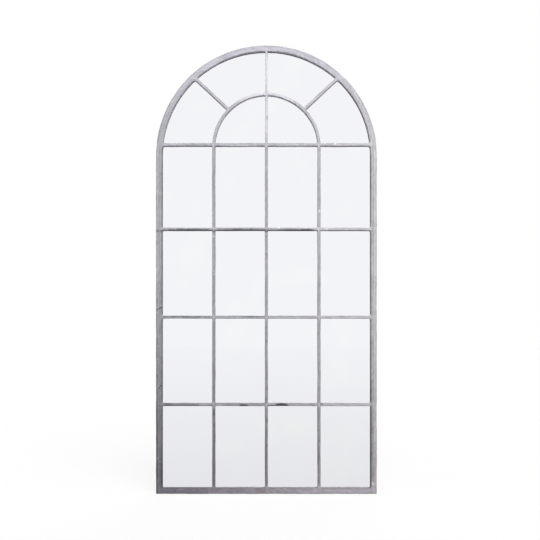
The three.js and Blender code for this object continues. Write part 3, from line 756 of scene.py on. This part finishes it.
sill_begin = foot_cut(1)
painted("sill", [tube(HOOP_SECTION, straight(-HALF_WIDTH, TUBE_FACE / 2, RIGHT), sill_begin,
                      lambda across: 2 * HALF_WIDTH - sill_begin(across), seed=81)])
print("hoop closed")

# %% [markdown]
# ## Glazing bars
# Three uprights run through from the sill to the top of the spring bar. Every cross bar is four
# short lengths butted between them, so the grid is held by welds alone: four corner welds at
# each crossing and a lump along each seam.

# %% Uprights
for number, (name, x) in enumerate(UPRIGHTS.items()):
    skins = [tube(bar_section(BAR_FACE), straight(x, 0, UP), at(TUBE_FACE), at(SPRING_TOP),
                  seed=100 + 10 * number)]
    for row, height in enumerate(ROWS.values()):
        for side, direction in OUTWARDS:
            edge = (x + side * BAR_HALF, height)
            seed = 140 + 20 * number + 4 * row + side
            skins.append(corner_weld(edge, direction, -side, BAR_HALF, BAR_WELD, seed))
            if height != SPRING:
                skins.append(corner_weld(edge, direction, side, BAR_HALF, BAR_WELD, seed + 50))
            skins.append(seam(*edge, UP, long=6.4, wide=2.3, seed=seed + 300))
    for side, direction in OUTWARDS:
        skins.append(corner_weld((x + side * BAR_HALF, 0), direction, side, TUBE_FACE, BAR_WELD,
                                 230 + 3 * number + side))
    skins.append(seam(x, TUBE_FACE, RIGHT, long=6.6, wide=2.2, seed=250 + number))
    painted(name, skins)
print("uprights stand on the sill at", TUBE_FACE, "mm")

# %% Cross bars
faces = [x + side * BAR_HALF for x in UPRIGHTS.values() for side in (-1, 1)]
ends = [-INNER_HALF_WIDTH, *faces, INNER_HALF_WIDTH]
to_the_arch = on_circle(0, SPRING, RIGHT, ARCH_HEIGHT, INNER_HALF_WIDTH - COPE_GAP)
for row, (name, height) in enumerate(ROWS.items()):
    for column, (left, right) in enumerate(zip(ends[::2], ends[1::2])):
        begin, end = at(left), at(right)
        if height == SPRING and column == 0:
            begin = lambda across: -to_the_arch(across)
        if height == SPRING and column == 3:
            end = to_the_arch
        skins = [tube(bar_section(BAR_FACE), straight(0, height, RIGHT), begin, end,
                      seed=400 + 20 * row + 4 * column)]
        if column in (0, 3):
            wall = wall_at_spring if height == SPRING else INNER_HALF_WIDTH
            skins.append(seam(-wall if column == 0 else wall, height, UP, long=7.2, wide=2.6,
                              seed=700 + 10 * row + column))
        painted(f"{name}_{column + 1}", skins)
print("cross bars:", 4 * len(ROWS))

# %% [markdown]
# ## The fan head
# A smaller arch of the same bar stands on the two side uprights, with spokes out to the hoop and
# one down to the middle of the spring bar. The arch is not concentric with the hoop, so each
# spoke is coped to two different circles, and the same end function works out both.

# %% The fan arch
foot_rise = SPRING_TOP - FAN_HEIGHT
foot_middle = 0.998 * SIDE_BAR


def level_feet(across):
    """Where the arch is cut level with the top of the spring bar: the angle whose sine is the
    rise over the radius at that point of the section, as a length along the middle line."""
    return SIDE_BAR * np.arcsin(foot_rise / (SIDE_BAR - across))


fan_skins = [tube(bar_section(BAR_FACE), bent(FAN_HEIGHT, SIDE_BAR), level_feet,
                  lambda across: math.pi * SIDE_BAR - level_feet(across), seed=801)]
for number, angle in enumerate(SPOKES.values()):
    fan_skins += spoke_corners(angle, BAR_FACE, FAN_HEIGHT, FAN_OUTER, False, BAR_WELD,
                               810 + 4 * number)
fan_skins += spoke_corners(UP, TOP_SPOKE_FACE, FAN_HEIGHT, FAN_OUTER, False, BAR_WELD, 821)
fan_skins += spoke_corners(UP, BOTTOM_SPOKE_FACE, FAN_HEIGHT, FAN_INNER, True, BAR_WELD, 825)
for side in (1, -1):
    for radius, outside in ((FAN_OUTER, side), (FAN_INNER, -side)):
        x = side * math.sqrt(radius ** 2 - foot_rise ** 2)
        fan_skins.append(corner_weld((x, 0), RIGHT if outside > 0 else LEFT, outside, SPRING_TOP,
                                     BAR_WELD, 830 + int(radius) + side))
    fan_skins.append(seam(side * foot_middle, SPRING_TOP, RIGHT, long=6.4, wide=2.2,
                          seed=860 + side))
painted("fan_arch", fan_skins)
print("fan arch:", len(fan_skins) - 1, "welds")

# %% Spokes
long_spokes = [(*spoke, BAR_FACE) for spoke in SPOKES.items()] + [("top_spoke", UP, TOP_SPOKE_FACE)]
for number, (name, angle, face) in enumerate(long_spokes):
    begin = on_circle(0, SPRING, angle, FAN_HEIGHT, FAN_OUTER + COPE_GAP)
    end = on_circle(0, SPRING, angle, ARCH_HEIGHT, INNER_HALF_WIDTH - COPE_GAP)
    skins = [tube(bar_section(face), straight(0, SPRING, angle), begin, end, seed=900 + 9 * number)]
    for reach, long in ((hub_reach(angle, 0, FAN_HEIGHT, FAN_OUTER), face * 0.46),
                        (hub_reach(angle, 0, ARCH_HEIGHT, INNER_HALF_WIDTH), face * 0.5)):
        skins.append(seam(*from_hub(angle, reach), angle + UP, long, wide=2.2,
                          seed=940 + int(reach) + number))
    painted(name, skins)

under_arch = on_circle(0, SPRING, UP, FAN_HEIGHT, FAN_INNER - COPE_GAP)
skins = [tube(bar_section(BOTTOM_SPOKE_FACE), straight(0, SPRING, UP), at(BAR_HALF + BUTT_GAP),
              under_arch, seed=981)]
for side, direction in OUTWARDS:
    skins.append(corner_weld((side * BOTTOM_SPOKE_FACE / 2, 0), direction, side, SPRING_TOP,
                             FOOT_WELD, 990 + side))
skins.append(seam(0, SPRING_TOP, RIGHT, long=4.6, wide=2.0, seed=995))
painted("bottom_spoke", skins)
print("spokes cut to both curves")

# %% [markdown]
# ## Mirror glass
# The glass is a flat sheet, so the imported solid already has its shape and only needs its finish:
# silvering that takes a little of the light and leaves a faint cool cast, a haze of wiped dust,
# and hardly any roughness.

# %% The silvered glass
silver = Finish("silvered_glass")
spot_on_glass = silver.here()
haze = silver.noise(spot_on_glass, 3.2, 3.0, 0.6, 0.6)
wiping = silver.noise(silver.stretched(spot_on_glass, (14, 1, 3)), 1.0, 4.0, 0.6)
warm = silver.between(silver.noise(silver.stretched(spot_on_glass, (1, 1, 1), (5, 2, 7)), 5.0, 2.0),
                      0.5, 0.75)
silver_colour = silver.mix((0.905, 0.908, 0.938, 1), (0.918, 0.925, 0.925, 1), warm)
silver_finish = silver.finish(
    Base_Color=silver.scaled(silver_colour, 0.985 + 0.02 * haze),
    Metallic=1.0, Roughness=0.012 + 0.02 * haze * wiping)

# %% [markdown]
# ## Hardboard, foam tape, zinc and rubber
# The back is hardboard with its rough side out, which keeps the print of the wire screen it was
# pressed on; its smooth side, towards the glass, is darker. The tape is black foam. The screws,
# straps and rings are zinc plated, with faint crystals and a blue and yellow tinge, and the pads
# are black rubber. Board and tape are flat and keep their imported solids.

# %% Hardboard
SCREEN_WIRES = 2 * math.pi / 0.0016
board = Finish("pressed_fibre_board")
spot_on_board = board.here()
right_of, _, above = board.split(spot_on_board)
fibres = board.noise(board.stretched(spot_on_board, (60, 60, 14)), 6.0, 6.0, 0.7)
lumps_of_fibre = board.noise(spot_on_board, 90.0, 5.0, 0.65)
stain = board.noise(spot_on_board, 2.6, 3.0, 0.55, 0.4)
rubs = board.between(board.noise(board.stretched(spot_on_board, (7, 7, 2)), 3.0, 5.0, 0.7, 1.5),
                     0.58, 0.7)
screen = (right_of * SCREEN_WIRES).sine() * (above * SCREEN_WIRES).sine()
board_tone = (0.70 + 0.38 * lumps_of_fibre + 0.2 * fibres + 0.10 * screen + 0.6 * (stain - 0.5)
              + 0.12 * rubs)
_, facing_wall, _ = board.split(board.here("Normal"))
smooth_side = board.between(0 - facing_wall, 0.5, 0.9)
board_colour = board.mix(written(126, 92, 62), written(150, 116, 80), fibres)
board_colour = board.mix(board_colour, written(58, 47, 40), smooth_side)
board_finish = board.finish(Base_Color=board.scaled(board_colour, board_tone),
                            Roughness=0.88 - 0.12 * rubs,
                            Normal=board.bump(screen * 0.5 + lumps_of_fibre, 0.0005, 0.6))

# %% Foam tape and rubber
foam = Finish("closed_cell_foam")
cells = foam.node("ShaderNodeTexVoronoi", {}, {"Vector": foam.here(), "Scale": 1400.0})
foam_finish = foam.finish(Base_Color=foam.mix(written(36, 36, 38), written(60, 60, 62), cells),
                          Roughness=0.92, Normal=foam.bump(cells, 0.0003, 0.6))

rubber = Finish("moulded_rubber")
spot_on_pad = rubber.here()
bloom = rubber.noise(spot_on_pad, 120.0, 4.0, 0.6)
pores = rubber.noise(spot_on_pad, 1500.0, 2.0)
rubber_finish = rubber.finish(
    Base_Color=rubber.mix(written(44, 44, 46), written(76, 76, 79), bloom * bloom),
    Roughness=0.72 + 0.16 * bloom, Normal=rubber.bump(pores + bloom, 0.0002, 0.5))

# %% Zinc plate
zinc = Finish("zinc_plating")
spot_on_zinc = zinc.here()
crystals = zinc.node("ShaderNodeTexVoronoi", {}, {"Vector": spot_on_zinc, "Scale": 420.0},
                     output="Color")
crystal_tone, crystal_tint, _ = zinc.split(crystals)
scuffs = zinc.noise(zinc.stretched(spot_on_zinc, (900, 200, 200)), 1.0, 5.0, 0.7)
zinc_colour = zinc.mix(written(188, 194, 204), written(206, 200, 182), crystal_tint)
zinc_finish = zinc.finish(
    Base_Color=zinc.scaled(zinc_colour, 0.84 + 0.14 * crystal_tone + 0.12 * (scuffs - 0.5)),
    Metallic=0.92, Roughness=0.3 + 0.12 * crystal_tone + 0.12 * scuffs,
    Normal=zinc.bump(scuffs + 0.4 * crystal_tone, 0.0001, 0.5))

# %% Finishes for the flat pieces
kept = {"mirror_glass": silver_finish, "backing_board": board_finish,
        **{f"{place}_foam_tape": foam_finish for place in ("left", "centre", "right")}}
for node, finish in kept.items():
    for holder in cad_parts[node].material_slots:
        holder.material = finish
print("kept as packed:", list(kept))

# %% [markdown]
# ## Screws
# A pan-head screw is turned, so its skin is a column of rings. Two things break the roundness: a
# thread, which is a ridge that climbs one pitch in each turn, and the cross in the head, where
# the rings drop wherever they pass within half an arm's width of either of two lines.

# %% One screw
SCREW_LENGTH, TIP, ROOT, RIDGE, PITCH = 12.0, 3.2, 1.35, 0.42, 1.3
HEAD, HEAD_HEIGHT = 3.5, 1.9
ARM_HALF, ARM_REACH, SLOT_DEPTH = 0.52, 2.15, 1.25
LAYER_GAP = 0.1
BOARD_THICKNESS = 3.0
BOARD_BACK = TUBE_DEPTH + LAYER_GAP + BOARD_THICKNESS
ON_BOARD = BOARD_BACK + LAYER_GAP


def screw(x, height, seat, turn):
    """A threaded shank with a cross-slotted pan head. Radius of the shank: the root plus a ridge
    that peaks where depth / pitch and angle / full turn differ by a half. Height of the head: a
    flattened dome, less the slot."""
    angle = np.linspace(0, 2 * np.pi, 48, endpoint=False)
    down = np.linspace(-SCREW_LENGTH, -0.02, 64)[:, None]
    phase = (down / PITCH - angle / (2 * np.pi)) % 1
    ridge = RIDGE * np.clip(1 - np.abs(phase - 0.5) * 3.4, 0, 1)
    shank_radius = (ROOT + ridge) * np.clip((down + SCREW_LENGTH) / TIP, 0.03, 1)
    radius = np.concatenate([[2.6, 3.3, HEAD], HEAD * np.linspace(0.995, 0.03, 26)])[:, None]
    share = np.clip(radius / HEAD, 0, 1)
    dome = HEAD_HEIGHT * (1 - share ** 3.2) ** 0.42
    dome[:3] = np.array([0.0, 0.02, 0.22])[:, None]
    near_line = np.minimum(np.abs(np.cos(angle)), np.abs(np.sin(angle))) * radius
    slot = np.clip((ARM_HALF - near_line) / 0.14, 0, 1) * np.clip((ARM_REACH - radius) / 0.2, 0, 1)
    head = dome - slot * SLOT_DEPTH * np.clip(1.15 - radius / 5, 0, 1) * (share < 0.9)
    rings = np.concatenate([shank_radius, radius + 0 * angle])
    depth = np.concatenate([down + 0 * angle, head])
    return loops(drawn(x + rings * np.cos(angle + turn), seat + depth,
                       height + rings * np.sin(angle + turn)))


def plated(name, skin, node, **more):
    dressed(name, [skin], zinc_finish, "zinc_plate", node, **more)


# %% Board screws and strap screws
PIVOT_DROP = 50.0
PIVOT_HEIGHT = ARCH_HEIGHT - PIVOT_DROP
STRAP_THICKNESS = 2.0
JAMB_SCREWS, ARCH_SCREWS, STRAP_SCREWS = (110, 520, 930), (28, 70, 110, 152), (28, 42)
board_screws = [(-TUBE_MIDDLE, height) for height in JAMB_SCREWS]
board_screws += [(TUBE_MIDDLE * math.cos(math.radians(turn)),
                  ARCH_HEIGHT + TUBE_MIDDLE * math.sin(math.radians(turn))) for turn in ARCH_SCREWS]
board_screws += [(TUBE_MIDDLE, height) for height in JAMB_SCREWS]
board_screws += [(-SIDE_BAR, TUBE_FACE / 2), (SIDE_BAR, TUBE_FACE / 2)]
screws = {f"board_screw_{number + 1}": (*place, ON_BOARD)
          for number, place in enumerate(board_screws)}
for name, side in (("left", -1), ("right", 1)):
    for number, drop in enumerate(STRAP_SCREWS):
        screws[f"{name}_hanger_screw_{number + 1}"] = (
            side * TUBE_MIDDLE, PIVOT_HEIGHT - drop, ON_BOARD + LAYER_GAP + STRAP_THICKNESS)
turns = np.random.default_rng(7).uniform(0, np.pi / 2, len(screws))
for (node, place), turn in zip(screws.items(), turns):
    plated("cross_" + node, screw(*place, turn), node, sharp=50)
print("screws:", len(screws))

# %% [markdown]
# ## Ring hangers
# A strap is one strip of plate folded round the ring's wire, with its two layers lying together
# and its end rounded. Its section is a line, thickened to both sides, that goes up, round the
# wire and down again, and it is carried across the width. The ring is a wire bent to a D.

# %% The folded strap
STRIP = 0.92
STRAP_LENGTH = 50.0
PIVOT_OUT = 3.8
WIRE = 1.5
FOLD = PIVOT_OUT - WIRE
INNER_LAYER, OUTER_LAYER = 0.5, 1.5


def curve(start, first, second, stop, steps):
    """A cubic curve between two points, pulled towards two others on the way."""
    t = np.linspace(0, 1, steps)[:, None]
    return ((1 - t) ** 3 * np.array(start) + 3 * t * (1 - t) ** 2 * np.array(first)
            + 3 * t ** 2 * (1 - t) * np.array(second) + t ** 3 * np.array(stop))


def slope_of(line):
    """The direction of a line at each of its points, one millimetre long."""
    slope = np.gradient(line, axis=0)
    return slope / np.linalg.norm(slope, axis=1, keepdims=True)


def strap(x):
    """The strip's middle line, out from the board and up from the pivot, offset to both sides
    along its normal, carried across 12 mm with thinned edges and a rounded lower end."""
    sweep = np.linspace(np.pi, -0.42 * np.pi, 34)[1:-1]
    barrel = np.stack([PIVOT_OUT + FOLD * np.cos(sweep), FOLD * np.sin(sweep)], -1)
    rise = np.stack([np.full(16, INNER_LAYER), np.linspace(-STRAP_LENGTH, -6, 16)], -1)
    fall = np.stack([np.full(16, OUTER_LAYER), np.linspace(-7.5, -STRAP_LENGTH, 16)], -1)
    line = np.concatenate([
        rise[:-1], curve(rise[-1], (0.5, -3.5), (1.5, -2.5), (1.5, 0), 9), barrel,
        curve(barrel[-1], barrel[-1] + (-0.9, -0.45), (1.5, -4.4), fall[0], 9)[1:-1], fall])
    slope = slope_of(line)
    normal = np.stack([-slope[:, 1], slope[:, 0]], -1)
    half_span = np.array([0, 1.6, 3.2, 4.4, 5.2, 5.6, 5.9, 6])
    span = np.concatenate([-half_span[:0:-1], half_span])
    thickness = STRIP / 2 * np.clip(0.55 + 1.1 * (6 - np.abs(span)), 0, 1)[:, None, None]
    section = np.concatenate([line + normal * thickness, (line - normal * thickness)[:, ::-1]], 1)
    over = np.clip(np.abs(span) - 2.0, 0, 4)[:, None]
    lift = 4 - np.sqrt(16 - over ** 2)
    low = np.clip((-30 - section[..., 1]) / 20, 0, 1)
    return loops(drawn(x + span[:, None], ON_BOARD + section[..., 0],
                       PIVOT_HEIGHT + section[..., 1] + lift * low))


# %% The bent ring
RING_HALF = 11.0
RING_DROP = 20.0
BOW_HEIGHT = RING_HALF - RING_DROP
SHOULDER = 3.0
RING_GAP = 0.3


def ring(x):
    """The wire's middle line: out of the barrel, round a shoulder, down, round half a circle and
    back. Across it goes a circle, laid out by the line's normal and by the depth."""
    turn = np.linspace(0, np.pi / 2, 9)[1:]
    top = np.linspace(RING_GAP, RING_HALF - SHOULDER, 10)
    right = np.concatenate([
        np.stack([top, 0 * top], -1),
        np.stack([RING_HALF - SHOULDER + SHOULDER * np.sin(turn), SHOULDER * (np.cos(turn) - 1)], -1),
        np.stack([np.full(5, RING_HALF), np.linspace(-SHOULDER, BOW_HEIGHT, 6)[1:]], -1)])
    bow = np.linspace(0, np.pi, 41)[1:-1]
    round_end = np.stack([RING_HALF * np.cos(bow), BOW_HEIGHT - RING_HALF * np.sin(bow)], -1)
    line = np.concatenate([right, round_end, right[::-1] * [-1, 1]])
    slope = slope_of(line)
    around = np.linspace(0, 2 * np.pi, 24, endpoint=False)
    side = WIRE * np.cos(around)
    return loops(drawn(x + line[:, :1] - slope[:, 1:] * side,
                       ON_BOARD + PIVOT_OUT + WIRE * np.sin(around),
                       PIVOT_HEIGHT + line[:, 1:] + slope[:, :1] * side))


for name, side in (("left", -1), ("right", 1)):
    plated(name + "_folded_strap", strap(side * TUBE_MIDDLE), name + "_hanger_strap")
    plated(name + "_bent_ring", ring(side * TUBE_MIDDLE), name + "_hanger_ring",
           body=name + "_ring")
print("rings hang from", round(PIVOT_HEIGHT + FLOOR, 2), "mm")

# %% [markdown]
# ## Wall pads
# Two round rubber feet keep the bottom of the hoop off the wall. A pad is turned: a straight
# side between two rounded edges, and a shallow moulded ring in its face.

# %% The pads
PAD_THICKNESS, PAD_INSET = 7.0, 20.0


def pad(x, height):
    """A turned disc: rings from the middle of one face over the edge to the middle of the other."""
    edge = np.linspace(0, np.pi / 2, 6)
    front = np.stack([np.array([0.4, 4.0, 8.0]), np.zeros(3)], -1)
    lower = np.stack([9.2 + 0.8 * np.sin(edge), 0.8 - 0.8 * np.cos(edge)], -1)
    upper = np.stack([9.0 + np.cos(edge), PAD_THICKNESS - 1.0 + np.sin(edge)], -1)
    groove = np.array([[8.4, 7.0], [7.6, 7.0], [7.3, 6.75], [6.9, 6.6], [6.4, 6.6], [6.0, 6.75],
                       [5.7, 7.0], [5.0, 7.0], [2.4, 7.0], [2.0, 6.8], [1.0, 6.6], [0.3, 6.6]])
    profile = np.concatenate([front, lower, upper, groove])
    angle = np.linspace(0, 2 * np.pi, 64, endpoint=False)
    rings = profile[:, :1]
    return loops(drawn(x + rings * np.cos(angle), ON_BOARD + profile[:, 1:],
                       height + rings * np.sin(angle)))


for name, side in (("left", -1), ("right", 1)):
    dressed(name + "_rubber_foot", [pad(side * (HALF_WIDTH - PAD_INSET), PAD_INSET)], rubber_finish,
            "pad_rubber", name + "_wall_pad", sharp=30)
print("pads reach the wall at", round(ON_BOARD + PAD_THICKNESS + FRONT, 2), "mm")

# %% [markdown]
# ## The camera
# The mirror is seen square on from three and a half metres, from below its middle: the undersides
# of the upper bars show and those near the lower third don't. The camera looks level and the
# picture is moved up by a lens shift, which keeps the jambs upright.

# %% Camera
EYE_HEIGHT = -0.67
DISTANCE = 3.5
SEEN_WIDTH = 2.202
SENSOR = 36.0
camera = bpy.data.objects.new("camera", bpy.data.cameras.new("camera"))
bpy.context.scene.collection.objects.link(camera)
bpy.context.scene.camera = camera
camera.location = (0, FRONT * MM - DISTANCE, EYE_HEIGHT)
camera.rotation_euler = (math.pi / 2, 0, 0)
camera.data.sensor_width = SENSOR
camera.data.lens = SENSOR * DISTANCE / SEEN_WIDTH
camera.data.shift_x = 0.00667
camera.data.shift_y = 0.1154
print("lens", round(camera.data.lens, 2))

# %% [markdown]
# ## Light, floor and background
# A studio sweep is white wherever the lens or the mirror looks, while the light that falls on the
# piece comes from above and in front, so that the undersides of the bars stay dark. Light Path
# tells the two apart: a ray from the lens, or one that has only met glass or polished metal,
# sees white, and a ray that gathers light for a painted surface sees the soft sky of the studio.

# %% Which rays see white
SKY, BELOW = 0.70, 0.34


def seeing(nodes):
    """1 for a ray that comes from the lens by way of nothing but shiny things, and 1 for a ray
    that comes from the lens itself."""
    path = {ray.socket.name: ray for ray in nodes.node("ShaderNodeLightPath", output=None)}
    from_lens = path["Is Camera Ray"]
    direct = from_lens.atleast(path["Is Glossy Ray"]).atleast(path["Is Transmission Ray"])
    return direct * path["Diffuse Depth"].below(0.5), from_lens


# %% The world
world = bpy.data.worlds.new("studio")
bpy.context.scene.world = world
air = Nodes(world)
seen, _ = seeing(air)
to_the_side, _, steepness = air.split(air.here("Generated"))
fill = air.between(steepness, -0.2, 0.35, BELOW, SKY) * (1 + 0.35 * to_the_side)
sky = air.node("ShaderNodeBackground", {}, {"Color": (1, 1, 1, 1), "Strength": fill + seen * (1 - fill)})
air.node("ShaderNodeOutputWorld", {}, {"Surface": sky}, None)
print("sky from", BELOW, "below to", SKY, "above")

# %% [markdown]
# The floor lies a hair under the sill. To the lens it is nearly white and keeps a faint shadow.
# The glass sees it a little grey close to its foot and white far off: 1 less a share divided by
# the distance, which is why the lowest panes are the greyest.

# %% The floor
FLOOR_HALF = 40.0
FLOOR_GAP = 0.2
SHADOW_SHARE = 0.22
GREY_SHARE, GREY_REACH = 0.476, 3.45
corners = np.array([[-1, -1], [1, -1], [1, 1], [-1, 1]]) * FLOOR_HALF
level = np.full((4, 1), (FLOOR - FLOOR_GAP) * MM)
floor_mesh = bpy.data.meshes.new("floor")
floor_mesh.from_pydata(np.hstack([corners, level]).tolist(), [], [(0, 1, 2, 3)])
floor = bpy.data.objects.new("floor", floor_mesh)
bpy.context.scene.collection.objects.link(floor)

matt = bpy.data.materials.new("pale_floor")
floor_mesh.materials.append(matt)
sweep = Nodes(matt)


def glow(strength):
    return sweep.node("ShaderNodeEmission", {}, {"Strength": strength})


def either(first, second, share):
    return sweep.node("ShaderNodeMixShader", {}, {0: share, 1: first, 2: second})


seen, from_lens = seeing(sweep)
_, forward, _ = sweep.split(sweep.here())
glass_sees = 1 - GREY_SHARE / (GREY_REACH + (0 - forward).atleast(0.0))
shaded = sweep.node("ShaderNodeBsdfDiffuse", {}, {"Color": (0.62, 0.62, 0.62, 1)})
shown = either(glow(glass_sees), either(glow(1.0), shaded, SHADOW_SHARE), from_lens)
sweep.node("ShaderNodeOutputMaterial", {}, {"Surface": either(glow(BELOW), shown, seen)}, None)
print("floor", FLOOR_GAP, "mm under the sill")


# %% Lamps
def soft_sun(name, strength, spread, height, sideways):
    """A broad lamp far away. Height is its angle above the floor, and sideways how far it stands
    round to the right of straight in front, both in degrees."""
    lamp = bpy.data.objects.new(name, bpy.data.lights.new(name, "SUN"))
    lamp.data.energy = strength
    lamp.data.angle = math.radians(spread)
    lamp.rotation_euler = (math.radians(90 - height), 0, math.radians(sideways))
    bpy.context.scene.collection.objects.link(lamp)


soft_sun("key_lamp", 3.0, 40, 48, 12)
soft_sun("back_lamp", 1.6, 50, 22, 168)
bpy.context.scene.view_settings.view_transform = "Standard"
print("lamps:", [light.name for light in bpy.data.lights])
